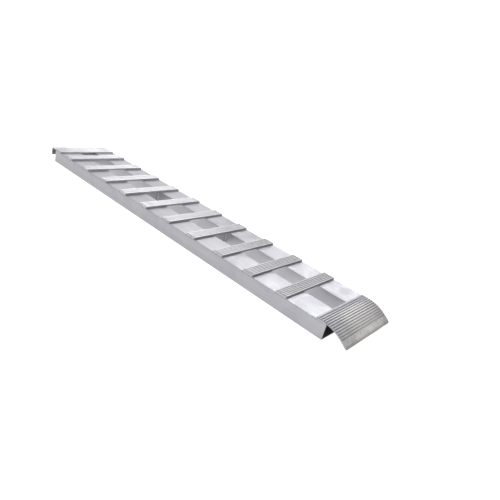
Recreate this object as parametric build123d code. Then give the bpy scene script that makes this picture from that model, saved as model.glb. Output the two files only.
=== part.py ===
from build123d import *
import os
from math import cos, radians, sin

# Aluminium loading ramp: two box rails, ten ribbed rungs, a hook plate at the trailer end and a curved
# ground plate at the other. X runs from the hook end to the ground end, Y across the ramp, and Z up.
# The origin is in the middle of the ramp's length and width, on the plane that the rails rest on.

# ---- driving dimensions, in millimetres and degrees ----
DECK_WIDTH = 355.6  # across both rails, 14 in

RAIL_LENGTH = 1954.0
RAIL_WIDTH = 127.0  # 5 in
RAIL_HEIGHT = 66.0
RAIL_WALL = 3.2
RAIL_OUTER_CORNER = 2.0
RAIL_INNER_CORNER = 1.0

RUNG_COUNT = 10
RUNG_PITCH = 176.5  # also the distance from the rails' hook end to the first rung's front edge
RUNG_RIBS = 6
RUNG_RIB_PITCH = 9.0
RUNG_THICKNESS = 9.5
RUNG_EDGE_ROUND = 0.6

SPREADER_RUNGS = (4, 7)  # the rungs that have a cross-member under them
SPREADER_SETBACK = 17.6  # from the rung's front edge to the cross-member's front face
SPREADER_END_INSET = 20.6  # from the rails' end to the cross-member under each end plate
SPREADER_DEPTH = 25.4
SPREADER_HEIGHT = 50.8
SPREADER_WALL = 3.2
SPREADER_CORNER = 2.0

HOOK_REACH = 50.8  # beyond the rails
HOOK_OVERLAP = 50.8  # on top of the rails
HOOK_DROP = 39.0  # from the rails' top surface to the lip's lower edge
HOOK_THICKNESS = 6.35
HOOK_BEND = 10.0  # outside radius
HOOK_EDGE_ROUND = 1.5

GROUND_OVERLAP = 47.7  # on top of the rails
GROUND_FLAT = 32.0
GROUND_BEND = 155.0  # radius of the top surface
GROUND_ANGLE = 35.0
GROUND_NOSE = 36.0  # straight length after the bend
GROUND_THICKNESS = 6.35
GROUND_GROOVES = 12
GROUND_GROOVE_PITCH = 10.4
GROUND_FIRST_GROOVE = 10.8  # from the plate's edge on the deck to the middle of the first groove
GROUND_GROOVE_TOP = 4.4
GROUND_GROOVE_FLOOR = 3.2
GROUND_CORNER = 9.0  # radius of the nose's corners, seen from above
GROUND_EDGE_ROUND = 2.0

GROOVE_DEPTH = 1.8
RUNG_GROOVE_TOP = 3.4
RUNG_GROOVE_FLOOR = 2.4

WELD_LEG = 3.8
WELD_RUNG_RISE = 7.0  # height of the beads up the rungs' ends
WELD_RUNG_LENGTH = 50.0
WELD_INNER_LENGTH = 40.0
WELD_SPREADER_LENGTH = 45.0
WELD_END_LENGTH = 110.0  # under an end plate, along a rail's end
WELD_PLATE_MARGIN = 4.0  # plate edge left bare past each end of a bead

CUT_MARGIN = 5.0  # how far a cutting tool stands past what it cuts

# ---- places worked out from them ----
DECK_Z = RAIL_HEIGHT
HALF_WIDTH = DECK_WIDTH / 2
RAIL_Y = HALF_WIDTH - RAIL_WIDTH / 2
GAP_HALF = HALF_WIDTH - RAIL_WIDTH
RUNG_WIDTH = RUNG_RIBS * RUNG_RIB_PITCH
TREAD_HALF = HALF_WIDTH - WELD_LEG  # treads stop short of the rails' sides, to leave room for a bead

GROUND_ARC = GROUND_BEND * radians(GROUND_ANGLE)
GROUND_DEVELOPED = GROUND_FLAT + GROUND_ARC + GROUND_NOSE
BEND_SIN = sin(radians(GROUND_ANGLE))
BEND_COS = cos(radians(GROUND_ANGLE))
GROUND_TIP_LOSS = GROUND_EDGE_ROUND * (BEND_SIN + BEND_COS - 1)  # length lost to the tip's rounding
GROUND_SPAN = GROUND_FLAT + GROUND_BEND * BEND_SIN + GROUND_NOSE * BEND_COS - GROUND_TIP_LOSS
OVERALL_LENGTH = HOOK_REACH + RAIL_LENGTH + GROUND_SPAN - GROUND_OVERLAP

RAIL_X0 = HOOK_REACH - OVERALL_LENGTH / 2
RAIL_X1 = RAIL_X0 + RAIL_LENGTH
GROUND_X0 = RAIL_X1 - GROUND_OVERLAP


def rung_front(number):
    """X of the edge of a rung that faces the ground end."""
    return RAIL_X0 + number * RUNG_PITCH


def spreader_places():
    """The middle of each cross-member along X: one under each end plate, and two under rungs."""
    end_offset = SPREADER_END_INSET + SPREADER_DEPTH / 2
    places = {"hook_end": RAIL_X0 + end_offset, "ground_end": RAIL_X1 - end_offset}
    for number in SPREADER_RUNGS:
        places[f"{number:02d}"] = rung_front(number) - SPREADER_SETBACK - SPREADER_DEPTH / 2
    return places


def across(section, half_width):
    """A section drawn in X and Z, made solid from one side of the ramp to the other."""
    return extrude(section, half_width, both=True)


def groove(point_at, station, top, floor):
    """The outline of one groove between ribs. point_at turns a station and a depth into X and Z."""
    outline = [
        point_at(station - top / 2, 0),
        point_at(station - floor / 2, GROOVE_DEPTH),
        point_at(station + floor / 2, GROOVE_DEPTH),
        point_at(station + top / 2, 0),
        point_at(station, -GROOVE_DEPTH),
    ]
    return Plane.XZ * make_face(Polyline(*outline, close=True))


def rail_end(side):
    """The plane of a rail's hook end. side is +1 for the left rail and -1 for the right one."""
    return Plane((RAIL_X0, side * RAIL_Y, RAIL_HEIGHT / 2), x_dir=(0, 1, 0), z_dir=(1, 0, 0))


def rail_envelope(side):
    """A rail's outside, with no hollow."""
    profile = RectangleRounded(RAIL_WIDTH, RAIL_HEIGHT, RAIL_OUTER_CORNER)
    return extrude(rail_end(side) * profile, RAIL_LENGTH)


def rail(side):
    """One box extrusion, its top dressed at the ground end to seat the ground plate's bend."""
    width = RAIL_WIDTH - 2 * RAIL_WALL
    height = RAIL_HEIGHT - 2 * RAIL_WALL
    hollow = extrude(rail_end(side) * RectangleRounded(width, height, RAIL_INNER_CORNER), RAIL_LENGTH)
    return rail_envelope(side) - hollow - across(ground_section(), HALF_WIDTH)


def rung_blank(number):
    """A tread bar before its grooves are cut."""
    centre = (rung_front(number) - RUNG_WIDTH / 2, DECK_Z + RUNG_THICKNESS / 2)
    return Plane.XZ * Pos(*centre) * RectangleRounded(RUNG_WIDTH, RUNG_THICKNESS, RUNG_EDGE_ROUND)


def rung(number):
    """A ribbed tread bar that lies across both rails."""
    front = rung_front(number)

    def point_at(station, depth):
        return (front - station, DECK_Z + RUNG_THICKNESS - depth)

    section = rung_blank(number)
    for index in range(1, RUNG_RIBS):
        section -= groove(point_at, index * RUNG_RIB_PITCH, RUNG_GROOVE_TOP, RUNG_GROOVE_FLOOR)
    return across(section, TREAD_HALF)


def spreader_plane(middle_x):
    """The plane along the ramp that a cross-member's section is drawn on, at half the rails' height."""
    return Plane.XZ * Pos(middle_x, RAIL_HEIGHT / 2)


def spreader_envelope(middle_x):
    """A cross-member's outside, with no hollow."""
    profile = RectangleRounded(SPREADER_DEPTH, SPREADER_HEIGHT, SPREADER_CORNER)
    return across(spreader_plane(middle_x) * profile, GAP_HALF)


def spreader(middle_x):
    """A short rectangular tube that holds the rails apart."""
    width = SPREADER_DEPTH - 2 * SPREADER_WALL
    height = SPREADER_HEIGHT - 2 * SPREADER_WALL
    hollow = RectangleRounded(width, height, SPREADER_CORNER / 2)
    return spreader_envelope(middle_x) - across(spreader_plane(middle_x) * hollow, GAP_HALF)


def hook_plate():
    """The bent plate that hangs the ramp on the trailer's edge."""
    outer_x = RAIL_X0 - HOOK_REACH
    inner_x = outer_x + HOOK_THICKNESS
    front_x = RAIL_X0 + HOOK_OVERLAP
    top_z = DECK_Z + HOOK_THICKNESS
    lip_z = DECK_Z - HOOK_DROP
    outline = Polyline(
        (front_x, DECK_Z),
        (front_x, top_z),
        (outer_x, top_z),
        (outer_x, lip_z),
        (inner_x, lip_z),
        (inner_x, DECK_Z),
        close=True,
    )
    section = Plane.XZ * make_face(outline)
    bends = (((outer_x, 0, top_z), HOOK_BEND), ((inner_x, 0, DECK_Z), HOOK_BEND - HOOK_THICKNESS))
    for corner, radius in bends:
        section = fillet(section.vertices().sort_by_distance(corner)[0], radius)
    lip_corners = section.vertices().group_by(Axis.Z)[0]
    section = fillet(lip_corners, HOOK_EDGE_ROUND)
    return across(section, TREAD_HALF)


def ground_point(station, depth):
    """X and Z of a point on the ground plate, from its distance along the plate and below its top."""
    top_z = DECK_Z + GROUND_THICKNESS
    bend_start = GROUND_X0 + GROUND_FLAT
    if station <= GROUND_FLAT:
        return (GROUND_X0 + station, top_z - depth)
    turned = min(station - GROUND_FLAT, GROUND_ARC)
    angle = turned / GROUND_BEND
    straight = station - GROUND_FLAT - turned
    radius = GROUND_BEND - depth
    x = bend_start + radius * sin(angle) + straight * cos(angle)
    z = top_z - GROUND_BEND + radius * cos(angle) - straight * sin(angle)
    return (x, z)


def ground_section():
    """The ground plate's section: flat on the rails, then an arc, then a straight nose."""
    bend_end = GROUND_FLAT + GROUND_ARC
    bend_middle = GROUND_FLAT + GROUND_ARC / 2

    def edge(depth):
        stations = (0, GROUND_FLAT, bend_middle, bend_end, GROUND_DEVELOPED)
        return [ground_point(station, depth) for station in stations]

    top = edge(0)
    bottom = edge(GROUND_THICKNESS)
    outline = [
        Line(top[0], top[1]),
        ThreePointArc(top[1], top[2], top[3]),
        Line(top[3], top[4]),
        Line(top[4], bottom[4]),
        Line(bottom[4], bottom[3]),
        ThreePointArc(bottom[3], bottom[2], bottom[1]),
        Line(bottom[1], bottom[0]),
        Line(bottom[0], top[0]),
    ]
    section = Plane.XZ * make_face(Wire(outline))
    tip = section.vertices().sort_by(Axis.X)[-2:]
    return fillet(tip, GROUND_EDGE_ROUND)


def ground_plate():
    """The grooved plate that carries a wheel down to the ground."""
    section = ground_section()
    for index in range(GROUND_GROOVES):
        station = GROUND_FIRST_GROOVE + index * GROUND_GROOVE_PITCH
        section -= groove(ground_point, station, GROUND_GROOVE_TOP, GROUND_GROOVE_FLOOR)
    plate = across(section, TREAD_HALF)
    plan = Pos(GROUND_X0 + GROUND_SPAN / 2, 0) * Rectangle(GROUND_SPAN, 2 * TREAD_HALF)
    plan = fillet(plan.vertices().group_by(Axis.X)[-1], GROUND_CORNER)
    envelope = extrude(plan, DECK_Z + GROUND_THICKNESS + CUT_MARGIN)
    return plate & envelope


def bead(profile, length, neighbours):
    """A weld bead round a corner, trimmed to the outsides of the pieces that it joins."""
    solid_bead = extrude(profile, length)
    for neighbour in neighbours:
        solid_bead -= neighbour
    return solid_bead


def lengthwise_plane(x, y):
    """A plane at the deck's height that faces along the ramp, with its own y axis upright."""
    return Plane((x, y, DECK_Z), x_dir=(0, 1, 0), z_dir=(1, 0, 0))


def rung_welds(rail_sides, corner_y, length, profile):
    """Two beads along every rung's width, at the same distance from the middle of the ramp."""
    beads = []
    for number in range(1, RUNG_COUNT + 1):
        start_x = rung_front(number) - (RUNG_WIDTH + length) / 2
        blank = across(rung_blank(number), TREAD_HALF)
        for side, rail_side in rail_sides.items():
            placed = lengthwise_plane(start_x, side * corner_y) * profile
            beads.append(bead(placed, length, (rail_side, blank)))
    return Compound(children=beads)


def spreader_welds(rail_sides, profile):
    """Upright beads in the four corners between each cross-member and the rails."""
    start_z = (RAIL_HEIGHT - WELD_SPREADER_LENGTH) / 2
    beads = []
    for middle_x in spreader_places().values():
        envelope = spreader_envelope(middle_x)
        for corner_x in (middle_x + SPREADER_DEPTH / 2, middle_x - SPREADER_DEPTH / 2):
            for side, rail_side in rail_sides.items():
                placed = Pos(corner_x, side * GAP_HALF, start_z) * profile
                beads.append(bead(placed, WELD_SPREADER_LENGTH, (rail_side, envelope)))
    return Compound(children=beads)


def end_plate_welds(rail_sides, plate, overlap_x, overlap, rail_end_x, profile):
    """Beads along an end plate's two sides, and under it along the rails' ends."""
    side_length = overlap - 2 * WELD_PLATE_MARGIN
    beads = []
    for side, rail_side in rail_sides.items():
        placed = lengthwise_plane(overlap_x + WELD_PLATE_MARGIN, side * TREAD_HALF) * profile
        beads.append(bead(placed, side_length, (rail_side, plate)))
        start = (rail_end_x, side * RAIL_Y - WELD_END_LENGTH / 2, DECK_Z)
        placed = Plane(start, z_dir=(0, 1, 0)) * profile
        beads.append(bead(placed, WELD_END_LENGTH, (rail_side, plate)))
    return Compound(children=beads)


def save(shape, name):
    export_step(shape, f"parts/{name}.step")


os.makedirs("parts", exist_ok=True)

save(rail(1), "left_rail")
save(rail(-1), "right_rail")

for number in range(1, RUNG_COUNT + 1):
    save(rung(number), f"rung_{number:02d}")

for place, middle_x in spreader_places().items():
    save(spreader(middle_x), f"spreader_{place}")

hook = hook_plate()
ground = ground_plate()
save(hook, "hook_plate")
save(ground, "ground_plate")

rail_sides = {1: rail_envelope(1), -1: rail_envelope(-1)}
corner_profile = Circle(WELD_LEG)
rung_end_profile = Ellipse(WELD_LEG, WELD_RUNG_RISE)
save(rung_welds(rail_sides, TREAD_HALF, WELD_RUNG_LENGTH, rung_end_profile), "rung_end_welds")
save(rung_welds(rail_sides, GAP_HALF, WELD_INNER_LENGTH, corner_profile), "rung_inner_welds")
save(spreader_welds(rail_sides, corner_profile), "spreader_welds")
hook_welds = end_plate_welds(rail_sides, hook, RAIL_X0, HOOK_OVERLAP, RAIL_X0, corner_profile)
ground_welds = end_plate_welds(rail_sides, ground, GROUND_X0, GROUND_OVERLAP, RAIL_X1, corner_profile)
save(hook_welds, "hook_plate_welds")
save(ground_welds, "ground_plate_welds")
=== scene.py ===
# %% [markdown]
# # An aluminium loading ramp
# This lesson finishes a ramp that lets a car or a mower drive onto a trailer. The ramp's structure comes
# from a CAD model: two hollow rails, ten ribbed rungs, a bent hook plate and a curved ground plate. The CAD
# gives every piece its size and place. Blender adds what a welder and an extrusion press leave behind:
# rippled weld beads, die lines, saw marks, soot, soft scratches and metal that catches the light unevenly.

# %% Load the fixed frame
from math import atan, cos, degrees, pi, radians, sin

import bpy
from mathutils import Matrix, Vector


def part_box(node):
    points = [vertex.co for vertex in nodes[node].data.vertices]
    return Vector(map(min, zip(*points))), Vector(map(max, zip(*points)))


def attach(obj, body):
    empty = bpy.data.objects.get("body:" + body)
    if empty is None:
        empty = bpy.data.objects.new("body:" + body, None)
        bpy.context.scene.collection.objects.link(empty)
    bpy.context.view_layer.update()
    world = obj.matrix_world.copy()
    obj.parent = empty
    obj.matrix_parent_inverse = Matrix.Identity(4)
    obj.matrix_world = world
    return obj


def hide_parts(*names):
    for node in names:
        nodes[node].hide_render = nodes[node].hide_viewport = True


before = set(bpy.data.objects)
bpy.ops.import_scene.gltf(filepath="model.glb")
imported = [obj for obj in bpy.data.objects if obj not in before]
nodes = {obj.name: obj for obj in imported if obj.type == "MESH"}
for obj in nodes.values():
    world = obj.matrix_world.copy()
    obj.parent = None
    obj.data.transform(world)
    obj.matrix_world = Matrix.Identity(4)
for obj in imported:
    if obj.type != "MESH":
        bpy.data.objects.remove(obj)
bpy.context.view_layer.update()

# %% [markdown]
# ## Read the sizes from the frame
# Every place in this file is worked out from the CAD pieces' own boxes, so nothing has to be fitted by eye.
# The deck is the rails' top surface. The rungs, the two end plates and all of the beads meet it.

# %% Measure the pieces that the rest depends on
rail_low, rail_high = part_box("left_rail")
hook_low, hook_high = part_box("hook_plate")
plate_low, plate_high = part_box("ground_plate")
RUNGS = sorted(name for name in nodes if name.startswith("rung_") and name[5:].isdigit())
SPREADERS = sorted(name for name in nodes if name.startswith("spreader_") and name != "spreader_welds")
DECK_Z = rail_high.z
HALF_WIDTH = rail_high.y
GAP_HALF = rail_low.y
RAIL_START, RAIL_END = rail_low.x, rail_high.x
RAIL_WALL = 0.0032
TREAD_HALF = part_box(RUNGS[0])[1].y
TREAD_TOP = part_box(RUNGS[0])[1].z
RUNG_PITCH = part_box(RUNGS[1])[1].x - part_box(RUNGS[0])[1].x
RUNG_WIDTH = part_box(RUNGS[0])[1].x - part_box(RUNGS[0])[0].x
print("deck height", round(DECK_Z, 4), "half width", round(HALF_WIDTH, 4), "half gap", round(GAP_HALF, 4))
print(len(RUNGS), "rungs,", round(RUNG_PITCH, 4), "apart;", len(SPREADERS), "spreaders")

# %% [markdown]
# ## The camera
# The viewer stands beyond the ground end, a little to the right of the ramp, and looks back up its length.
# The camera is tilted about its own line of sight, so the ramp runs down the picture at a slant.
# A slightly wide lens makes the near end large and draws the far end together.

# %% Place the camera
CAMERA_PLACE = Vector((1.5138, -1.5179, 0.8877))
CAMERA_LOOK = Vector((-0.53828, 0.74212, -0.39938))
CAMERA_RIGHT = Vector((0.72153, 0.65069, 0.23664))
CAMERA_LENS = 32.9

look = CAMERA_LOOK.normalized()
right = (CAMERA_RIGHT - look * CAMERA_RIGHT.dot(look)).normalized()
up = right.cross(look)
turn = Matrix((right, up, -look)).transposed()
camera_data = bpy.data.cameras.new("camera")
camera_data.lens = CAMERA_LENS
camera_data.sensor_width = 36.0
camera_data.clip_end = 200.0
camera = bpy.data.objects.new("camera", camera_data)
camera.matrix_world = Matrix.Translation(CAMERA_PLACE) @ turn.to_4x4()
bpy.context.scene.collection.objects.link(camera)
bpy.context.scene.camera = camera
print("camera looks down by", round(degrees(atan(-look.z / look.xy.length)), 1), "degrees")

# %% [markdown]
# ## A helper for shader trees
# A material is a small network of nodes. Adding each node by hand takes four or five lines, so one helper
# adds a node, sets its options and fills its inputs. A socket given as an input is linked, and anything
# else is stored as the input's value.

# %% Add a shader node in one line
def node(tree, kind, title, inputs=(), **options):
    """Add one node to a tree. inputs maps a socket's name or number to a value or to another socket."""
    new = tree.nodes.new(kind)
    new.label = title
    for option, value in options.items():
        setattr(new, option, value)
    for key, value in dict(inputs).items():
        if isinstance(value, bpy.types.NodeSocket):
            tree.links.new(value, new.inputs[key])
        else:
            new.inputs[key].default_value = value
    return new


def maths(tree, operation, *values, title=""):
    """One sum on numbers that change over the surface."""
    return node(tree, "ShaderNodeMath", title, dict(enumerate(values)), operation=operation).outputs[0]


def fade(tree, value, start, end, low=0.0, high=1.0):
    """A smooth step from low to high as value goes from start to end."""
    inputs = {"Value": value, "From Min": start, "From Max": end, "To Min": low, "To Max": high}
    return node(tree, "ShaderNodeMapRange", "fade", inputs, interpolation_type="SMOOTHSTEP").outputs["Result"]


def between(tree, value, low, high, soft=0.0004):
    """1 where value lies between low and high, and 0 elsewhere."""
    return maths(tree, "MULTIPLY", fade(tree, value, low - soft, low + soft),
                 fade(tree, value, high - soft, high + soft, 1.0, 0.0))


# %% Start a shader group with named sockets
def start_group(name, inputs, outputs):
    """A new shader group. inputs maps a name to its default value, and outputs lists names."""
    group = bpy.data.node_groups.new(name, "ShaderNodeTree")
    for title, value in inputs.items():
        kind = "NodeSocketVector" if isinstance(value, tuple) else "NodeSocketFloat"
        socket = group.interface.new_socket(title, in_out="INPUT", socket_type=kind)
        socket.default_value = value
    for title in outputs:
        group.interface.new_socket(title, in_out="OUTPUT", socket_type="NodeSocketFloat")
    entry = group.nodes.new("NodeGroupInput")
    leave = group.nodes.new("NodeGroupOutput")
    return group, entry.outputs, leave.inputs


def use_group(tree, group, title, inputs):
    """Place a finished group in a material with its own values."""
    return node(tree, "ShaderNodeGroup", title, inputs, node_tree=group).outputs


# %% [markdown]
# ## Shared effects
# Every piece here is mill-finish aluminium, so the same few effects come back on all of them. Each is a
# shader group with named inputs: a press leaves lines along an extrusion, oxide and handling leave soft
# patches, dragging leaves thin scratches, and a welding arc leaves grey soot beside each bead.

# %% Lines that run along an extrusion
die_lines, entry, leave = start_group(
    "die lines", {"Vector": (0, 0, 0), "Stretch": (1, 1, 1), "Scale": 300.0}, ["Fine", "Broad"])
stretched = node(die_lines, "ShaderNodeVectorMath", "stretch", {0: entry["Vector"], 1: entry["Stretch"]},
                 operation="MULTIPLY").outputs[0]
fine = node(die_lines, "ShaderNodeTexNoise", "fine lines",
            {"Vector": stretched, "Scale": entry["Scale"], "Detail": 2.0, "Roughness": 0.6})
broad_scale = maths(die_lines, "MULTIPLY", entry["Scale"], 0.16, title="broad scale")
broad = node(die_lines, "ShaderNodeTexNoise", "broad bands",
             {"Vector": stretched, "Scale": broad_scale, "Detail": 2.0, "Roughness": 0.5})
die_lines.links.new(fade(die_lines, fine.outputs["Fac"], 0.3, 0.7), leave["Fine"])
die_lines.links.new(fade(die_lines, broad.outputs["Fac"], 0.32, 0.68), leave["Broad"])
print("shader group:", die_lines.name)

# %% Soft patches of oxide and handling
patches, entry, leave = start_group("soft patches", {"Vector": (0, 0, 0), "Scale": 12.0, "Warp": 0.6},
                                    ["Clouds", "Speckle"])
clouds = node(patches, "ShaderNodeTexNoise", "clouds",
              {"Vector": entry["Vector"], "Scale": entry["Scale"], "Detail": 4.0, "Roughness": 0.55,
               "Distortion": entry["Warp"]})
speckle_scale = maths(patches, "MULTIPLY", entry["Scale"], 28.0, title="speckle scale")
speckle = node(patches, "ShaderNodeTexNoise", "speckle",
               {"Vector": entry["Vector"], "Scale": speckle_scale, "Detail": 2.0, "Roughness": 0.7})
patches.links.new(fade(patches, clouds.outputs["Fac"], 0.34, 0.66), leave["Clouds"])
patches.links.new(fade(patches, speckle.outputs["Fac"], 0.35, 0.65), leave["Speckle"])
print("shader group:", patches.name)

# %% Thin scratches at a slant
scratches, entry, leave = start_group("thin scratches", {"Vector": (0, 0, 0), "Angle": 0.5, "Scale": 60.0,
                                                         "Share": 0.3}, ["Scratches"])
turned = node(scratches, "ShaderNodeVectorRotate", "turn",
              {"Vector": entry["Vector"], "Angle": entry["Angle"]}, rotation_type="Z_AXIS").outputs[0]
narrow = node(scratches, "ShaderNodeVectorMath", "stretch", {0: turned, 1: (1.0, 26.0, 1.0)},
              operation="MULTIPLY").outputs[0]
mark = node(scratches, "ShaderNodeTexNoise", "marks",
            {"Vector": narrow, "Scale": entry["Scale"], "Detail": 1.0, "Roughness": 0.4})
lowest = maths(scratches, "SUBTRACT", 0.86, maths(scratches, "MULTIPLY", entry["Share"], 0.4))
highest = maths(scratches, "ADD", lowest, 0.03)
scratches.links.new(fade(scratches, mark.outputs["Fac"], lowest, highest), leave["Scratches"])
print("shader group:", scratches.name)

# %% Grey soot beside a weld
soot, entry, leave = start_group(
    "weld soot", {"Vector": (0, 0, 0), "Distance": 0.0, "Reach": 0.012}, ["Soot"])
smoke = node(soot, "ShaderNodeTexNoise", "smoke",
             {"Vector": entry["Vector"], "Scale": 90.0, "Detail": 3.0, "Roughness": 0.6})
uneven = maths(soot, "MULTIPLY", entry["Reach"], fade(soot, smoke.outputs["Fac"], 0.3, 0.7, 0.3, 1.0))
soot.links.new(fade(soot, entry["Distance"], 0.0, uneven, 1.0, 0.0), leave["Soot"])
print("shader group:", soot.name)

# %% Distance to the nearest rung, along the ramp
rung_gap, entry, leave = start_group("distance to a rung", {"Along": 0.0, "First": 0.0, "Pitch": 0.1765,
                                                            "Width": 0.054}, ["Distance"])
steps = maths(rung_gap, "DIVIDE", maths(rung_gap, "SUBTRACT", entry["Along"], entry["First"]), entry["Pitch"])
nearest = maths(rung_gap, "MULTIPLY", maths(rung_gap, "ROUND", steps), entry["Pitch"])
offset = maths(rung_gap, "ABSOLUTE", maths(rung_gap, "SUBTRACT", maths(rung_gap, "SUBTRACT", entry["Along"],
                                                                     entry["First"]), nearest))
half_rung = maths(rung_gap, "MULTIPLY", entry["Width"], 0.5)
rung_gap.links.new(maths(rung_gap, "MAXIMUM", maths(rung_gap, "SUBTRACT", offset, half_rung), 0.0),
                   leave["Distance"])
print("shader group:", rung_gap.name)

# %% [markdown]
# ## How a metal finish is put together
# Each finish ends in one Principled shader that is fully metallic. Its colour is the metal's own
# reflection, so it is mixed between a clean tone and a dull tone. Roughness says how blurred the
# reflections are, and a Bump node turns the fine lines into tiny changes of the surface's direction.
# Lines from a die blur a reflection across themselves and hardly at all along themselves. The shader's
# Anisotropic value does this. Its tangent is the way across the lines, found at every point from the
# surface's own direction and the way that the die pushed the metal.

# %% Start a metal material and join its parts
def start_metal(name):
    """A new material. Returns it, its tree, its object coordinates whole and in parts, and its facing."""
    material = bpy.data.materials.new(name)
    material.use_nodes = True
    tree = material.node_tree
    place = node(tree, "ShaderNodeTexCoord", "place on the object")
    parts = node(tree, "ShaderNodeSeparateXYZ", "place", {0: place.outputs["Object"]}).outputs
    facing = node(tree, "ShaderNodeSeparateXYZ", "facing", {0: place.outputs["Normal"]}).outputs
    return material, tree, place.outputs["Object"], parts, facing


def blend_colour(tree, share, first, second):
    """Mix two colours by share. Either may be a plain colour or a socket."""
    inputs = {0: share, 6: first if isinstance(first, bpy.types.NodeSocket) else (*first, 1.0),
              7: second if isinstance(second, bpy.types.NodeSocket) else (*second, 1.0)}
    return node(tree, "ShaderNodeMix", "colour", inputs, data_type="RGBA").outputs[2]


def finish_metal(tree, colour, roughness, height, depth, grain=None, stretch=0.0):
    """Join colour, roughness and height to the material's shader. depth is the bump's height in metres."""
    shader = tree.nodes["Principled BSDF"]
    shader.inputs["Metallic"].default_value = 1.0
    if grain:
        shader.inputs["Anisotropic"].default_value = stretch
        place = node(tree, "ShaderNodeTexCoord", "facing")
        across = node(tree, "ShaderNodeVectorMath", "across the grain",
                      {0: place.outputs["Normal"], 1: grain}, operation="CROSS_PRODUCT")
        tree.links.new(across.outputs[0], shader.inputs["Tangent"])
    bump = node(tree, "ShaderNodeBump", "fine relief", {"Height": height, "Distance": depth, "Strength": 1.0})
    tree.links.new(colour, shader.inputs["Base Color"])
    tree.links.new(roughness, shader.inputs["Roughness"])
    tree.links.new(bump.outputs["Normal"], shader.inputs["Normal"])


# The way that the metal was pushed or rolled. The trace of the other axes keeps the tangent from being zero.
ALONG_RAMP = (1.0, 0.01, 0.01)
ACROSS_RAMP = (0.01, 1.0, 0.01)
RAIL_RELIEF, PLAIN_RELIEF, BEAD_RELIEF = 0.000002, 0.00001, 0.00003


def put_on(material, *names):
    """Give the named CAD pieces a material in place of the plain one that they were loaded with."""
    for name in names:
        mesh = nodes[name].data
        mesh.materials.clear()
        mesh.materials.append(material)
    print(material.name, "->", len(names), "pieces")


# %% [markdown]
# ## The rails
# Each rail is one hollow box, pushed through a die, so faint lines run down its whole length. The press
# leaves broad bands of slightly different grey too. The bore's inside is painted a dark olive grey as
# painted shade. The walls that face each other across the gap are painted lighter as painted light, which
# fades out near the ground end and leaves them darker there as painted shade. Soot has settled on the deck
# beside the beads, and the sawn ends show the blade's marks.

# %% The rails' finish
rail_metal, tree, place, axis, facing = start_metal("mill finish rail")
side_y = maths(tree, "ABSOLUTE", axis["Y"])
lines = use_group(tree, die_lines, "press lines",
                  {"Vector": place, "Stretch": (0.02, 1.0, 1.0), "Scale": 420.0})
oxide = use_group(tree, patches, "oxide", {"Vector": place, "Scale": 9.0, "Warp": 0.8})
drag = use_group(tree, scratches, "drag marks",
                 {"Vector": place, "Angle": 0.35, "Scale": 28.0, "Share": 0.30})

to_rung = use_group(tree, rung_gap, "distance to a rung",
                    {"Along": axis["X"], "First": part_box(RUNGS[0])[0].x + RUNG_WIDTH / 2, "Pitch": RUNG_PITCH,
                     "Width": RUNG_WIDTH})["Distance"]
to_edge = maths(tree, "SUBTRACT", HALF_WIDTH, side_y, title="distance from the deck's edge")
below_deck = maths(tree, "SUBTRACT", DECK_Z, axis["Z"], title="distance below the deck")
outwards = maths(tree, "ADD", maths(tree, "MULTIPLY", to_edge, 0.35), below_deck)
to_bead = maths(tree, "ADD", to_rung, outwards, title="distance to an end bead")
edge_soot = use_group(tree, soot, "soot at the beads", {"Vector": place, "Distance": to_bead, "Reach": 0.011})

in_bore_y = between(tree, side_y, GAP_HALF + RAIL_WALL / 2, HALF_WIDTH - RAIL_WALL / 2)
in_bore = maths(tree, "MULTIPLY", in_bore_y, between(tree, axis["Z"], RAIL_WALL / 2, DECK_Z - RAIL_WALL / 2))
sawn = fade(tree, maths(tree, "ABSOLUTE", facing["X"]), 0.8, 0.95)
saw_lines = node(tree, "ShaderNodeTexWave", "saw marks", {"Vector": place, "Scale": 260.0, "Distortion": 2.0},
                 bands_direction="Z").outputs["Fac"]

clean = blend_colour(tree, oxide["Clouds"], (0.605, 0.60, 0.65), (0.695, 0.70, 0.735))
banded = blend_colour(tree, maths(tree, "MULTIPLY", lines["Broad"], 0.28), clean, (0.55, 0.54, 0.57))
# Painted light: the walls facing each other across the gap are painted lighter. This fades out between 30 and 8
# cm before the ground end, which leaves them darker there as painted shade.
inner_wall = fade(tree, side_y, GAP_HALF + 0.0006, GAP_HALF + 0.0016, 1.0, 0.0)
inner_wall_painted_light = maths(tree, "MULTIPLY", inner_wall,
                fade(tree, axis["X"], RAIL_END - 0.30, RAIL_END - 0.08, 0.8, 0.0))
painted_light_walls = blend_colour(tree, inner_wall_painted_light, banded, (0.79, 0.785, 0.81))
sooty = blend_colour(tree, maths(tree, "MULTIPLY", edge_soot["Soot"], 0.45), painted_light_walls, (0.32, 0.32, 0.34))
# Painted shade: the bore's inside faces are painted a dark olive grey.
colour = blend_colour(tree, in_bore, sooty, (0.34, 0.34, 0.31))
shine = maths(tree, "ADD", fade(tree, oxide["Clouds"], 0.0, 1.0, 0.29, 0.36),
              maths(tree, "MULTIPLY", lines["Fine"], 0.06))
scuffed = maths(tree, "ADD", shine, maths(tree, "MULTIPLY", drag["Scratches"], 0.03))
roughness = maths(tree, "MAXIMUM", scuffed, maths(tree, "MULTIPLY", in_bore, 0.72))
relief = maths(tree, "ADD", lines["Fine"],
               maths(tree, "MULTIPLY", maths(tree, "MULTIPLY", saw_lines, sawn), 3.0))
relief = maths(tree, "SUBTRACT", relief, maths(tree, "MULTIPLY", drag["Scratches"], 1.5))
finish_metal(tree, colour, roughness, relief, RAIL_RELIEF, ALONG_RAMP, 0.6)
put_on(rail_metal, "left_rail", "right_rail")
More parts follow.
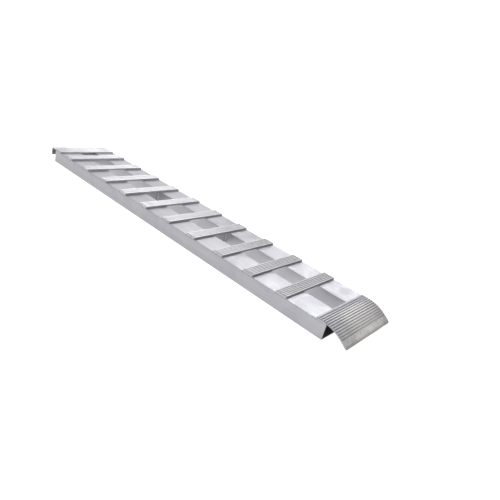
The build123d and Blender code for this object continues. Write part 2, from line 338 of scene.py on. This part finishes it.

# %% [markdown]
# ## The rungs
# A rung is cut from a long ribbed bar, so its die lines run across the ramp. Tyres polish the crests of the
# ribs, while the grooves are darkened as road dirt and painted shade. The groove's depth decides how dark
# they are, and it is read straight from the height on the object. The long edges are painted darker as
# painted shade, and more so towards the ground end.

# %% The rungs' finish
RIB_DEPTH = 0.0018
# The depth band in which the grooves are darkened as dirt and painted shade.
GROOVE_DIRT_AND_SHADE_TOP, GROOVE_DIRT_AND_SHADE_FLOOR = RIB_DEPTH * 0.35, RIB_DEPTH * 1.4
rung_metal, tree, place, axis, facing = start_metal("ribbed tread bar")
lines = use_group(tree, die_lines, "press lines",
                  {"Vector": place, "Stretch": (1.0, 0.02, 1.0), "Scale": 520.0})
oxide = use_group(tree, patches, "oxide", {"Vector": place, "Scale": 16.0, "Warp": 0.5})
drag = use_group(tree, scratches, "tyre marks",
                 {"Vector": place, "Angle": 0.15, "Scale": 45.0, "Share": 0.45})

depth = maths(tree, "SUBTRACT", TREAD_TOP, axis["Z"], title="depth below the crests")
crest = fade(tree, depth, 0.0001, 0.0006, 1.0, 0.0)
upward = fade(tree, facing["Z"], 0.15, 0.5)
# Dirt and painted shade: upward faces inside the grooves are darkened between these depths.
groove_dirt_and_shade = maths(tree, "MULTIPLY", between(tree, depth, GROOVE_DIRT_AND_SHADE_TOP, GROOVE_DIRT_AND_SHADE_FLOOR), upward)
# Painted shade: the rungs' long edges, below the crests, are painted darker, and more so towards the ground
# end.
long_edge = fade(tree, maths(tree, "ABSOLUTE", facing["X"]), 0.75, 0.95)
edge_shade_and_bead_skin = maths(tree, "MULTIPLY", long_edge, fade(tree, depth, 0.0004, 0.0010))
shade_towards_ground_end = fade(tree, axis["X"], RAIL_START, RAIL_END, 0.05, 0.85)
sawn = fade(tree, maths(tree, "ABSOLUTE", facing["Y"]), 0.8, 0.95)
saw_lines = node(tree, "ShaderNodeTexWave", "saw marks", {"Vector": place, "Scale": 300.0, "Distortion": 2.0},
                 bands_direction="X").outputs["Fac"]

clean = blend_colour(tree, oxide["Clouds"], (0.645, 0.64, 0.67), (0.74, 0.74, 0.77))
polished = blend_colour(tree, maths(tree, "MULTIPLY", crest, 0.7), clean, (0.80, 0.80, 0.825))
groove_dirt_and_shade_colour = blend_colour(tree, maths(tree, "MULTIPLY", groove_dirt_and_shade, fade(tree, oxide["Speckle"], 0.0, 1.0, 0.55, 0.9)),
                     polished, (0.24, 0.23, 0.24))
colour = blend_colour(tree, maths(tree, "MULTIPLY", edge_shade_and_bead_skin, shade_towards_ground_end), groove_dirt_and_shade_colour, (0.43, 0.43, 0.46))
shine = fade(tree, oxide["Clouds"], 0.0, 1.0, 0.50, 0.60)
roughness = maths(tree, "ADD", shine, maths(tree, "MULTIPLY", maths(tree, "MAXIMUM", groove_dirt_and_shade, edge_shade_and_bead_skin), 0.25))
relief = maths(tree, "ADD", lines["Fine"],
               maths(tree, "MULTIPLY", maths(tree, "MULTIPLY", saw_lines, sawn), 3.0))
relief = maths(tree, "SUBTRACT", relief, maths(tree, "MULTIPLY", drag["Scratches"], 2.0))
finish_metal(tree, colour, roughness, relief, PLAIN_RELIEF, ACROSS_RAMP, 0.85)
put_on(rung_metal, *RUNGS)

# %% [markdown]
# ## The cross-members
# The short tubes between the rails are sawn from plain rectangular tube. Nobody sees or touches them, so
# they are the dullest pieces. Where they meet the rails, beside the upright beads, they are darkened as soot
# and painted corner shade.

# %% The cross-members' finish
tube_metal, tree, place, axis, facing = start_metal("dull cross tube")
side_y = maths(tree, "ABSOLUTE", axis["Y"])
lines = use_group(tree, die_lines, "press lines",
                  {"Vector": place, "Stretch": (1.0, 0.03, 1.0), "Scale": 500.0})
oxide = use_group(tree, patches, "oxide", {"Vector": place, "Scale": 30.0, "Warp": 0.4})
to_wall = maths(tree, "SUBTRACT", GAP_HALF, side_y, title="distance from the rails")
corner_soot_and_shade = use_group(tree, soot, "soot at the beads", {"Vector": place, "Distance": to_wall, "Reach": 0.016})
clean = blend_colour(tree, oxide["Clouds"], (0.50, 0.50, 0.52), (0.60, 0.60, 0.62))
# Soot and painted corner shade: the tube is darkened where it meets the rails, beside the upright beads.
colour = blend_colour(tree, maths(tree, "MULTIPLY", corner_soot_and_shade["Soot"], 0.8), clean, (0.15, 0.15, 0.16))
roughness = maths(tree, "ADD", fade(tree, oxide["Clouds"], 0.0, 1.0, 0.38, 0.50),
                  maths(tree, "MULTIPLY", corner_soot_and_shade["Soot"], 0.2))
finish_metal(tree, colour, roughness, lines["Fine"], PLAIN_RELIEF)
put_on(tube_metal, *SPREADERS)

# %% [markdown]
# ## The hook plate
# The hook plate is a strip of flat sheet with one sharp bend. Its grain runs across the ramp, and pulling
# the ramp on and off a trailer leaves short scratches along it. The outside of the bend was stretched,
# which roughens it slightly, and the seat under the plate is rubbed by the trailer's edge.

# %% The hook plate's finish
hook_metal, tree, place, axis, facing = start_metal("bent sheet hook")
lines = use_group(tree, die_lines, "rolled grain",
                  {"Vector": place, "Stretch": (1.0, 0.05, 1.0), "Scale": 380.0})
oxide = use_group(tree, patches, "oxide", {"Vector": place, "Scale": 11.0, "Warp": 0.9})
drag = use_group(tree, scratches, "loading marks",
                 {"Vector": place, "Angle": 0.1, "Scale": 40.0, "Share": 0.5})
on_bend = fade(tree, maths(tree, "SUBTRACT", axis["X"], hook_low.x), 0.004, 0.016, 1.0, 0.0)
clean = blend_colour(tree, oxide["Clouds"], (0.66, 0.66, 0.69), (0.76, 0.76, 0.78))
colour = blend_colour(tree, maths(tree, "MULTIPLY", drag["Scratches"], 0.5), clean, (0.46, 0.46, 0.48))
roughness = maths(tree, "ADD", fade(tree, oxide["Clouds"], 0.0, 1.0, 0.40, 0.50),
                  maths(tree, "MULTIPLY", on_bend, 0.10))
relief = maths(tree, "ADD", lines["Fine"], maths(tree, "MULTIPLY", maths(tree, "MULTIPLY", oxide["Speckle"],
                                                                           on_bend), 2.0))
relief = maths(tree, "SUBTRACT", relief, maths(tree, "MULTIPLY", drag["Scratches"], 2.0))
finish_metal(tree, colour, roughness, relief, PLAIN_RELIEF, ACROSS_RAMP, 0.7)
put_on(hook_metal, "hook_plate")

# %% [markdown]
# ## The ground plate
# The ground plate is a grooved extrusion, bent to lead a wheel up from the ground. Its smooth nose scrapes
# on concrete, so it carries warm stains, pale rub marks and long scratches. Wheels polish the middle and
# leave the two sides dull, and the grooves are darkened as dirt and painted shade. Depth below the tread is
# found from the bend's own centre: a flat part first, then distance from the axis.

# %% Measure the ground plate's bend
PLATE_FLAT = 0.032
PLATE_BEND = 0.155
GROOVED_LENGTH = 0.1295
plate_axis_x = plate_low.x + PLATE_FLAT
plate_axis_z = plate_high.z - PLATE_BEND
NOSE_X = plate_axis_x + PLATE_BEND * sin((GROOVED_LENGTH - PLATE_FLAT) / PLATE_BEND)
print("bend axis at", round(plate_axis_x, 4), round(plate_axis_z, 4), "nose starts at", round(NOSE_X, 4))

# %% The ground plate's finish
plate_metal, tree, place, axis, facing = start_metal("grooved ground plate")
lines = use_group(tree, die_lines, "press lines",
                  {"Vector": place, "Stretch": (1.0, 0.03, 1.0), "Scale": 420.0})
oxide = use_group(tree, patches, "stains", {"Vector": place, "Scale": 15.0, "Warp": 1.2})
rubs = use_group(tree, patches, "rub marks", {"Vector": place, "Scale": 42.0, "Warp": 1.6})
drag = use_group(tree, scratches, "scrapes", {"Vector": place, "Angle": 0.9, "Scale": 36.0, "Share": 0.5})

past_flat = maths(tree, "MAXIMUM", maths(tree, "SUBTRACT", axis["X"], plate_axis_x), 0.0)
above_axis = maths(tree, "SUBTRACT", axis["Z"], plate_axis_z)
reach = maths(tree, "SQRT", maths(tree, "ADD", maths(tree, "POWER", past_flat, 2.0),
                                  maths(tree, "POWER", above_axis, 2.0)))
depth = maths(tree, "SUBTRACT", PLATE_BEND, reach, title="depth below the tread")
on_nose = fade(tree, axis["X"], NOSE_X - 0.001, NOSE_X + 0.003)
grooved = maths(tree, "SUBTRACT", 1.0, on_nose)
upward = fade(tree, facing["Z"], 0.2, 0.5)
# Dirt and painted shade: the grooves on the tread are darkened, less so towards the nose.
groove_dirt_and_shade = maths(tree, "MULTIPLY", maths(tree, "MULTIPLY", between(tree, depth, GROOVE_DIRT_AND_SHADE_TOP, GROOVE_DIRT_AND_SHADE_FLOOR),
                                     upward), grooved)
groove_dirt_and_shade = maths(tree, "MULTIPLY", groove_dirt_and_shade, fade(tree, axis["X"], plate_low.x + 0.05, NOSE_X, 1.0, 0.45))
warm = maths(tree, "MULTIPLY", oxide["Clouds"], fade(tree, axis["X"], plate_low.x + 0.03, NOSE_X, 0.15, 1.0))

ragged_y = maths(tree, "ADD", maths(tree, "ABSOLUTE", maths(tree, "SUBTRACT", axis["Y"], 0.02)),
                 maths(tree, "MULTIPLY", oxide["Clouds"], 0.03))
wheel_path = maths(tree, "MULTIPLY", fade(tree, ragged_y, 0.055, 0.165, 1.0, 0.0),
                   fade(tree, axis["X"], plate_low.x + 0.016, plate_low.x + 0.040))
edges = blend_colour(tree, rubs["Clouds"], (0.49, 0.49, 0.53), (0.59, 0.59, 0.62))
clean = blend_colour(tree, wheel_path, edges, (0.80, 0.795, 0.80))
stained = blend_colour(tree, maths(tree, "MULTIPLY", warm, 0.6), clean, (0.76, 0.715, 0.665))
scraped = maths(tree, "MULTIPLY", maths(tree, "MULTIPLY", on_nose, rubs["Clouds"]),
                fade(tree, wheel_path, 0.0, 0.6, 0.25, 1.0))
rubbed = blend_colour(tree, scraped, stained, (0.95, 0.92, 0.88))
# The last centimetre of the nose's tip is made darker.
at_tip = fade(tree, axis["X"], plate_high.x - 0.013, plate_high.x - 0.003, 0.0, 0.6)
nose_tip_darkened = blend_colour(tree, at_tip, rubbed, (0.40, 0.39, 0.38))
groove_dirt_and_shade_colour = blend_colour(tree, maths(tree, "MULTIPLY", groove_dirt_and_shade, fade(tree, rubs["Speckle"], 0.0, 1.0, 0.6, 0.95)),
                     nose_tip_darkened, (0.15, 0.14, 0.155))
colour = blend_colour(tree, maths(tree, "MULTIPLY", drag["Scratches"], 0.5), groove_dirt_and_shade_colour, (0.42, 0.41, 0.40))
roughness = maths(tree, "ADD", fade(tree, rubs["Clouds"], 0.0, 1.0, 0.42, 0.54),
                  maths(tree, "MULTIPLY", groove_dirt_and_shade, 0.25))
relief = maths(tree, "ADD", lines["Fine"], maths(tree, "MULTIPLY", maths(tree, "MULTIPLY", rubs["Speckle"],
                                                                           on_nose), 2.0))
relief = maths(tree, "SUBTRACT", relief, maths(tree, "MULTIPLY", drag["Scratches"], 2.5))
finish_metal(tree, colour, roughness, relief, PLAIN_RELIEF, ACROSS_RAMP, 0.6)
put_on(plate_metal, "ground_plate")

# %% [markdown]
# ## The weld beads' finish
# A fresh aluminium bead is the brightest thing on the ramp: clean cast metal with a satin skin.

# %% The beads' metal
bead_metal, tree, place, axis, facing = start_metal("bright weld bead")
edge_shade_and_bead_skin = use_group(tree, patches, "cast skin", {"Vector": place, "Scale": 60.0, "Warp": 0.5})
colour = blend_colour(tree, edge_shade_and_bead_skin["Clouds"], (0.84, 0.84, 0.86), (0.95, 0.95, 0.96))
roughness = fade(tree, edge_shade_and_bead_skin["Speckle"], 0.0, 1.0, 0.30, 0.46)
finish_metal(tree, colour, roughness, edge_shade_and_bead_skin["Speckle"], BEAD_RELIEF)

# %% [markdown]
# ## The weld beads
# A welder moves the torch in small steps, and each step freezes as a thin crescent on the one before. The
# CAD holds each bead as a plain fillet. Here Geometry Nodes make it again: a line becomes a curve, a
# quarter-round profile is swept along it, and every point is pulled towards the corner by a ripple that
# depends on how far along the bead it is. One tree serves every joint on the ramp, with its own sizes.

# %% Build the bead tree
def start_bead_tree():
    """An empty Geometry Nodes tree with named inputs for one run of weld bead."""
    tree = bpy.data.node_groups.new("rippled weld bead", "GeometryNodeTree")
    tree.interface.new_socket("Geometry", in_out="INPUT", socket_type="NodeSocketGeometry")
    sizes = {"Leg": 0.0038, "Rise": 0.0038, "Ripple Spacing": 0.0028, "Ripple Depth": 0.2, "Unevenness": 0.2,
             "Bow": 0.0016}
    for title, value in sizes.items():
        socket = tree.interface.new_socket(title, in_out="INPUT", socket_type="NodeSocketFloat")
        socket.default_value = value
    seed = tree.interface.new_socket("Seed", in_out="INPUT", socket_type="NodeSocketFloat")
    seed.default_value = 3.0
    tree.interface.new_socket("Material", in_out="INPUT", socket_type="NodeSocketMaterial")
    tree.interface.new_socket("Geometry", in_out="OUTPUT", socket_type="NodeSocketGeometry")
    return tree


def keep(tree, geometry, value, kind, title):
    """Store a value on every point now, so that it can be read after the shape has changed."""
    store = node(tree, "GeometryNodeCaptureAttribute", title, {"Geometry": geometry})
    store.capture_items.new(kind, title)
    tree.links.new(value, store.inputs[title])
    return store.outputs["Geometry"], store.outputs[title]


# %% The bead's profile: a little more than a quarter round, closed at the corner
ARC_START, ARC_SWEEP = radians(-25), radians(115)
bead_tree = start_bead_tree()
given = bead_tree.nodes.new("NodeGroupInput").outputs
arc = node(bead_tree, "GeometryNodeCurveArc", "bead profile",
           {"Resolution": 10, "Radius": 1.0, "Start Angle": ARC_START, "Sweep Angle": ARC_SWEEP,
            "Connect Center": True}, mode="RADIUS").outputs["Curve"]
profile_size = node(bead_tree, "ShaderNodeCombineXYZ", "leg and rise",
                    {"X": given["Leg"], "Y": given["Rise"], "Z": 1.0}).outputs[0]
profile = node(bead_tree, "GeometryNodeTransform", "size the profile",
               {"Geometry": arc, "Scale": profile_size}).outputs["Geometry"]
around = node(bead_tree, "GeometryNodeSplineParameter", "way round").outputs["Factor"]
profile, around = keep(bead_tree, profile, around, "FLOAT", "Around")

# %% The bead's path: a curve with the corner's outward direction as its normal
path = node(bead_tree, "GeometryNodeMeshToCurve", "line to curve",
            {"Mesh": given["Geometry"]}).outputs["Curve"]
step = maths(bead_tree, "DIVIDE", given["Ripple Spacing"], 6.0)
path = node(bead_tree, "GeometryNodeResampleCurve", "short steps", {"Curve": path, "Length": step},
            mode="LENGTH").outputs["Curve"]
outward = node(bead_tree, "GeometryNodeInputNamedAttribute", "outward", {"Name": "outward"},
               data_type="FLOAT_VECTOR").outputs["Attribute"]
path = node(bead_tree, "GeometryNodeSetCurveNormal", "face outward", {"Curve": path, "Normal": outward},
            mode="FREE").outputs["Curve"]
along = node(bead_tree, "GeometryNodeSplineParameter", "way along").outputs["Length"]
whole = node(bead_tree, "GeometryNodeSplineLength", "whole length").outputs["Length"]
centre = node(bead_tree, "GeometryNodeInputPosition", "centre line").outputs[0]
path, along = keep(bead_tree, path, along, "FLOAT", "Along")
path, whole = keep(bead_tree, path, whole, "FLOAT", "Whole")
path, centre = keep(bead_tree, path, centre, "VECTOR", "Centre")
swept = node(bead_tree, "GeometryNodeCurveToMesh", "sweep",
             {"Curve": path, "Profile Curve": profile, "Fill Caps": True}).outputs["Mesh"]

# %% The ripple: crescents, an uneven flow and rounded ends
from_middle = maths(bead_tree, "POWER", maths(bead_tree, "SUBTRACT", around, 0.35), 2.0)
bowed = maths(bead_tree, "ADD", along, maths(bead_tree, "MULTIPLY", given["Bow"],
                                             maths(bead_tree, "MULTIPLY", from_middle, 8.0)))
wave = maths(bead_tree, "DIVIDE", bowed, given["Ripple Spacing"])
crest = maths(bead_tree, "ABSOLUTE", maths(bead_tree, "SINE", maths(bead_tree, "MULTIPLY", wave, pi)))
valley = maths(bead_tree, "MULTIPLY", maths(bead_tree, "SUBTRACT", 1.0, crest), given["Ripple Depth"])
flow = node(bead_tree, "ShaderNodeTexNoise", "uneven flow",
            {"W": given["Seed"], "Scale": 110.0, "Detail": 2.0}, noise_dimensions="4D").outputs["Fac"]
dip = maths(bead_tree, "MULTIPLY", flow, given["Unevenness"])
from_end = maths(bead_tree, "MINIMUM", along, maths(bead_tree, "SUBTRACT", whole, along))
ending = fade(bead_tree, from_end, 0.0, 0.004, 0.45, 0.0)
pull = maths(bead_tree, "ADD", maths(bead_tree, "ADD", valley, dip), ending)
place_now = node(bead_tree, "GeometryNodeInputPosition", "point").outputs[0]
arm = node(bead_tree, "ShaderNodeVectorMath", "from the corner", {0: centre, 1: place_now},
           operation="SUBTRACT").outputs[0]
shift = node(bead_tree, "ShaderNodeVectorMath", "pull in", {0: arm, "Scale": pull},
             operation="SCALE").outputs[0]
rippled = node(bead_tree, "GeometryNodeSetPosition", "ripple", {"Geometry": swept, "Offset": shift})

# %% Smooth the skin, keep the corners crisp, and give the bead its metal
fold = node(bead_tree, "GeometryNodeInputMeshEdgeAngle", "fold").outputs["Unsigned Angle"]
sharp = node(bead_tree, "FunctionNodeCompare", "sharp", {0: fold, 1: radians(42)}, operation="GREATER_THAN")
smooth = node(bead_tree, "GeometryNodeSetShadeSmooth", "smooth faces",
              {"Geometry": rippled.outputs["Geometry"]}, domain="FACE").outputs["Geometry"]
crisp = node(bead_tree, "GeometryNodeSetShadeSmooth", "crisp corners",
             {"Geometry": smooth, "Selection": sharp.outputs["Result"], "Shade Smooth": False},
             domain="EDGE").outputs["Geometry"]
solid = node(bead_tree, "GeometryNodeRealizeInstances", "real mesh", {"Geometry": crisp}).outputs["Geometry"]
painted = node(bead_tree, "GeometryNodeSetMaterial", "metal",
               {"Geometry": solid, "Material": given["Material"]}).outputs["Geometry"]
bead_tree.links.new(painted, bead_tree.nodes.new("NodeGroupOutput").inputs["Geometry"])
print("bead tree has", len(bead_tree.nodes), "nodes")


# %% Lay beads along a list of corners
def lay_beads(name, corners, replaced, **sizes):
    """Make one piece from many beads. A corner has a middle, a length, an outward way and a rise way."""
    points, edges, ways = [], [], []
    for middle, length, outward_way, rise_way in corners:
        travel = Vector(outward_way).cross(Vector(rise_way)) * (length / 2)
        edges.append((len(points), len(points) + 1))
        points += [Vector(middle) - travel, Vector(middle) + travel]
        ways += [outward_way, outward_way]
    line_mesh = bpy.data.meshes.new(name + " lines")
    line_mesh.from_pydata(points, edges, [])
    stored = line_mesh.attributes.new("outward", "FLOAT_VECTOR", "POINT")
    stored.data.foreach_set("vector", [value for way in ways for value in way])
    source = bpy.data.objects.new(name + " lines", line_mesh)
    bpy.context.scene.collection.objects.link(source)
    modifier = source.modifiers.new("beads", "NODES")
    modifier.node_group = bead_tree
    sockets = {item.name: item.identifier for item in bead_tree.interface.items_tree
               if item.in_out == "INPUT"}
    modifier[sockets["Material"]] = bead_metal
    for title, value in sizes.items():
        modifier[sockets[title.replace("_", " ")]] = value
    evaluated = source.evaluated_get(bpy.context.evaluated_depsgraph_get())
    mesh = bpy.data.meshes.new_from_object(evaluated)
    mesh.name = name
    bpy.data.objects.remove(source)
    piece = bpy.data.objects.new(name, mesh)
    bpy.context.scene.collection.objects.link(piece)
    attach(piece, "root")
    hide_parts(replaced)
    print(name, "has", len(corners), "beads and", len(mesh.polygons), "faces")


# %% List the corners that are welded
WELD_LEG = 0.0038
RUNG_END_MARGIN, RUNG_INNER_MARGIN, PLATE_MARGIN = 0.004, 0.014, 0.008
UPRIGHT_BEAD, RAIL_END_BEAD = 0.045, 0.110
SIDES = (1, -1)
rung_spans = [(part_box(name)[0].x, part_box(name)[1].x) for name in RUNGS]
spreader_boxes = [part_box(name) for name in SPREADERS]
end_corners = [((sum(span) / 2, side * TREAD_HALF, DECK_Z), RUNG_WIDTH - RUNG_END_MARGIN,
                (0, side, 0), (0, 0, 1))
               for span in rung_spans for side in SIDES]
inner_corners = [((sum(span) / 2, side * GAP_HALF, DECK_Z), RUNG_WIDTH - RUNG_INNER_MARGIN,
                  (0, -side, 0), (0, 0, -1))
                 for span in rung_spans for side in SIDES]
upright_corners = [((face_x, side * GAP_HALF, DECK_Z / 2), UPRIGHT_BEAD, (way, 0, 0), (0, -side, 0))
                   for low, high in spreader_boxes for face_x, way in ((low.x, -1), (high.x, 1))
                   for side in SIDES]


def plate_corners(start, end, rail_face, way):
    """A plate's two side beads, and the beads under it along the rails' ends."""
    rail_middle = (HALF_WIDTH + GAP_HALF) / 2
    sides = [(((start + end) / 2, side * TREAD_HALF, DECK_Z), end - start - PLATE_MARGIN,
              (0, side, 0), (0, 0, 1))
             for side in SIDES]
    ends = [((rail_face, side * rail_middle, DECK_Z), RAIL_END_BEAD, (way, 0, 0), (0, 0, -1))
            for side in SIDES]
    return sides + ends


# %% Lay every bead
lay_beads("rung_end_beads", end_corners, "rung_end_welds", Leg=WELD_LEG, Rise=0.007, Ripple_Spacing=0.0034,
          Ripple_Depth=0.22, Unevenness=0.28, Seed=3.0)
lay_beads("rung_inner_beads", inner_corners, "rung_inner_welds", Leg=WELD_LEG, Rise=WELD_LEG, Seed=7.0)
lay_beads("spreader_beads", upright_corners, "spreader_welds", Leg=WELD_LEG, Rise=WELD_LEG, Seed=11.0)
lay_beads("hook_plate_beads", plate_corners(RAIL_START, hook_high.x, RAIL_START, -1), "hook_plate_welds",
          Leg=WELD_LEG, Rise=WELD_LEG, Seed=15.0)
lay_beads("ground_plate_beads", plate_corners(plate_low.x, RAIL_END, RAIL_END, 1), "ground_plate_welds",
          Leg=WELD_LEG, Rise=WELD_LEG, Seed=19.0)

# %% [markdown]
# ## The floor and the light
# Bare aluminium looks like whatever it reflects, so the light matters as much as the metal. A pale floor
# and a white surround stand in for a studio's backdrop. Soft panels hang on a dome, most of them over the
# ramp's left side. The ribs run across the ramp and the rails' lines run along it, so each picks out its own
# panels: the far rungs turn almost white, and so does the near deck. One panel on the right puts a glint on
# the beads. The metal sees a greyer room than the viewer does, which keeps the rails' webs dark. Eleven of
# the panels' directions and powers come from a separate fit. Most were only rounded and one was raised, and
# the panel on the right was added.

# %% Make the floor
FLOOR_HALF = 60.0
FLOOR_GREY = 0.30
FLOOR_BOUNCE = 0.53
FLOOR_GLOW = 0.88
FLOOR_PALE = 0.8
floor_mesh = bpy.data.meshes.new("floor")
floor_corners = [(-FLOOR_HALF, -FLOOR_HALF, 0), (FLOOR_HALF, -FLOOR_HALF, 0),
                 (FLOOR_HALF, FLOOR_HALF, 0), (-FLOOR_HALF, FLOOR_HALF, 0)]
floor_mesh.from_pydata(floor_corners, [], [(0, 1, 2, 3)])
floor = bpy.data.objects.new("floor", floor_mesh)
bpy.context.scene.collection.objects.link(floor)
floor_material = bpy.data.materials.new("pale floor")
floor_material.use_nodes = True
floor_tree = floor_material.node_tree
floor_tree.nodes.clear()
seen = node(floor_tree, "ShaderNodeLightPath", "seen by the camera").outputs["Is Camera Ray"]
dull = node(floor_tree, "ShaderNodeBsdfDiffuse", "grey in reflections", {"Color": (FLOOR_GREY,) * 3 + (1,)})
under = node(floor_tree, "ShaderNodeEmission", "light from below",
             {"Color": (1, 1, 1, 1), "Strength": FLOOR_BOUNCE})
grey = node(floor_tree, "ShaderNodeAddShader", "grey and filled", {0: dull.outputs[0], 1: under.outputs[0]})
pale = node(floor_tree, "ShaderNodeBsdfDiffuse", "pale to the eye", {"Color": (FLOOR_PALE,) * 3 + (1,)})
glow = node(floor_tree, "ShaderNodeEmission", "soft fill", {"Color": (1, 1, 1, 1), "Strength": FLOOR_GLOW})
lit = node(floor_tree, "ShaderNodeAddShader", "pale and filled", {0: pale.outputs[0], 1: glow.outputs[0]})
either = node(floor_tree, "ShaderNodeMixShader", "choose", {0: seen, 1: grey.outputs[0], 2: lit.outputs[0]})
node(floor_tree, "ShaderNodeOutputMaterial", "out", {"Surface": either.outputs[0]})
floor_mesh.materials.append(floor_material)

# %% Make the surround
ROOM_LIGHT = 0.36
SWEEP_LIGHT = 1.2
bpy.context.scene.view_settings.view_transform = "Standard"
world = bpy.data.worlds.new("studio")
world.use_nodes = True
world_tree = world.node_tree
background = world_tree.nodes["Background"]
background.inputs["Color"].default_value = (1, 1, 1, 1)
background.inputs["Strength"].default_value = ROOM_LIGHT
white = node(world_tree, "ShaderNodeBackground", "white sweep",
             {"Color": (1, 1, 1, 1), "Strength": SWEEP_LIGHT})
in_view = node(world_tree, "ShaderNodeLightPath", "seen by the camera").outputs["Is Camera Ray"]
sweep = node(world_tree, "ShaderNodeMixShader", "choose",
             {0: in_view, 1: background.outputs[0], 2: white.outputs[0]})
world_tree.links.new(sweep.outputs[0], world_tree.nodes["World Output"].inputs["Surface"])
bpy.context.scene.world = world


# %% Hang the panels
def soft_panel(name, place, target, width, height, watts):
    """A flat rectangular light at place that faces target."""
    data = bpy.data.lights.new(name, "AREA")
    data.shape = "RECTANGLE"
    data.size = width
    data.size_y = height
    data.energy = watts
    panel = bpy.data.objects.new(name, data)
    direction = Vector(target) - Vector(place)
    facing = direction.to_track_quat("-Z", "Y").to_matrix().to_4x4()
    panel.matrix_world = Matrix.Translation(Vector(place)) @ facing
    panel.visible_camera = False
    bpy.context.scene.collection.objects.link(panel)


PANEL_DISTANCE = 4.5
PANEL_WIDTH, PANEL_HEIGHT = 1.3, 1.1
PANELS = {
    "low panel on the left": (110, 14, 9.8),
    "low panel behind the left side": (140, 14, 3.2),
    "low panel by the hook": (155, 14, 3.8),
    "low panel beside the deck": (90, 14, 14.0),
    "middle panel behind the left side": (135, 35, 6.3),
    "middle panel by the hook": (150, 35, 2.8),
    "middle panel past the ground end": (60, 35, 4.5),
    "high panel on the left": (90, 52, 23.0),
    "high panel left of the middle": (110, 52, 6.6),
    "high panel over the left side": (125, 52, 21.6),
    "panel overhead": (90, 72, 27.0),
    "high panel on the right": (285, 50, 45.0),
}
for name, (turn_degrees, tilt_degrees, watts) in PANELS.items():
    turn, tilt = radians(turn_degrees), radians(tilt_degrees)
    way = Vector((cos(turn) * cos(tilt), sin(turn) * cos(tilt), sin(tilt)))
    soft_panel(name, way * PANEL_DISTANCE, (0, 0, 0), PANEL_WIDTH, PANEL_HEIGHT, watts)
print("hung", len(PANELS), "panels on a dome")
